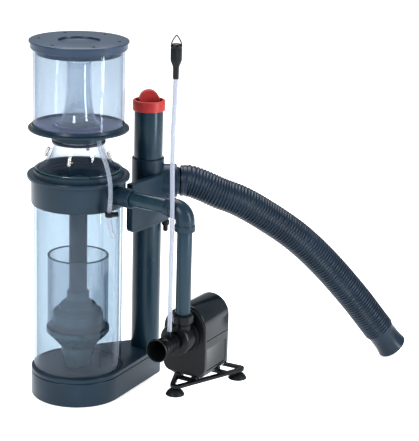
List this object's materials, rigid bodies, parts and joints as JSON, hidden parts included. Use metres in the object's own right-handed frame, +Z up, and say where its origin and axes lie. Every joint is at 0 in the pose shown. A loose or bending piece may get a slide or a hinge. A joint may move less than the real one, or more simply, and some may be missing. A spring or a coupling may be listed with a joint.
{
  "type": "protein skimmer",
  "caption": "Column protein skimmer on a teardrop base, with a collection cup and lid on top, a standpipe with an air regulator and outlet hose, and a feed pump on an elbowed pipe.",
  "frame": {"origin": "on the column's axis at the underside of the base", "axes": "+Z up along the column, +X from the column to the standpipe, +Y away from the feed pump"},
  "size_m": [0.5314, 0.2752, 0.5188],
  "materials": {
    "pvc_grey": "satin blue-grey pressure-pipe PVC",
    "lid_pvc": "satin lighter blue-grey PVC",
    "clear_acrylic": "polished clear acrylic",
    "frosted_plastic": "frosted translucent plastic",
    "red_plastic": "satin red PVC",
    "black_plastic": "moulded black plastic",
    "pump_plastic": "moulded black-green plastic",
    "rubber": "matt black rubber",
    "hose_plastic": "flexible dark blue ribbed hose",
    "clear_tubing": "soft translucent tubing",
    "shaft_steel": "ground steel",
    "ferrite": "sintered ferrite"
  },
  "bodies": {
    "skimmer": {"base_box": "pvc_grey", "base_plate": "pvc_grey", "down_pipe": "pvc_grey", "collar_housing": "pvc_grey", "feed_inner_elbow": "pvc_grey", "feed_stub": "pvc_grey", "feed_pipe_upper": "pvc_grey", "feed_elbow": "pvc_grey", "feed_pipe_lower": "pvc_grey", "standpipe_lower": "pvc_grey", "standpipe_upper": "pvc_grey", "outlet_tee": "pvc_grey", "pipe_bracket": "pvc_grey", "body_tube": "clear_acrylic", "inner_tube": "clear_acrylic", "pedestal_tube": "frosted_plastic", "diffuser_dish": "frosted_plastic", "diffuser_bell": "frosted_plastic", "pump_volute": "black_plastic", "pump_front_flange": "black_plastic", "rotor_can": "black_plastic", "inlet_trumpet": "black_plastic", "cable_gland": "black_plastic", "air_nipple": "black_plastic", "silencer_body": "black_plastic", "silencer_hook": "black_plastic", "pump_foot_plate": "black_plastic", "pump_motor_housing": "pump_plastic", "collar_o_ring": "rubber", "front_bush": "rubber", "rear_bush": "rubber", "suction_cup_1": "rubber", "suction_cup_2": "rubber", "suction_cup_3": "rubber", "outlet_hose": "hose_plastic", "hose_cuff_near": "hose_plastic", "hose_cuff_far": "hose_plastic", "air_tube": "clear_tubing", "stator_block": "shaft_steel"},
    "neck": {"cone_neck": "clear_acrylic", "neck_o_ring": "rubber"},
    "cup": {"neck_ring": "pvc_grey", "cup_floor": "clear_acrylic", "cup_tube": "clear_acrylic", "foam_riser": "clear_acrylic", "drain_nipple": "clear_acrylic", "drain_tube": "clear_tubing", "drain_clip": "black_plastic"},
    "lid": {"cup_lid": "lid_pvc", "lid_gasket": "rubber"},
    "regulator": {"regulator_cap": "red_plastic", "regulator_sleeve": "red_plastic"},
    "rotor": {"pump_shaft": "shaft_steel", "rotor_magnet": "ferrite", "impeller": "black_plastic"},
    "union": {"union_nut": "black_plastic"},
    "knob": {"bracket_knob": "black_plastic"}
  },
  "joints": [
    {"name": "neck_twist", "type": "hinge", "parent": "skimmer", "child": "neck", "pos_m": [0, 0, 0.31], "axis": [0, 0, 1], "range_deg": [-25, 0]},
    {"name": "cup_lift", "type": "slide", "parent": "neck", "child": "cup", "axis": [0, 0, 1], "range_m": [0, 0.06]},
    {"name": "lid_lift", "type": "slide", "parent": "cup", "child": "lid", "axis": [0, 0, 1], "range_m": [0, 0.03]},
    {"name": "regulator_turn", "type": "hinge", "parent": "skimmer", "child": "regulator", "pos_m": [0.122, 0, 0.39], "axis": [0, 0, 1], "range_deg": [0, 90]},
    {"name": "rotor_spin", "type": "hinge", "parent": "skimmer", "child": "rotor", "pos_m": [0.04, -0.16215, 0.115], "axis": [0.9511, 0.309, 0], "continuous": true},
    {"name": "union_turn", "type": "hinge", "parent": "skimmer", "child": "union", "pos_m": [0.04185, -0.16786, 0.1445], "axis": [0, 0, 1], "range_deg": [0, 360]},
    {"name": "knob_turn", "type": "hinge", "parent": "skimmer", "child": "knob", "pos_m": [0.13693, -0.02266, 0.22], "axis": [0, 0, 1], "range_deg": [-180, 180]}
  ]
}
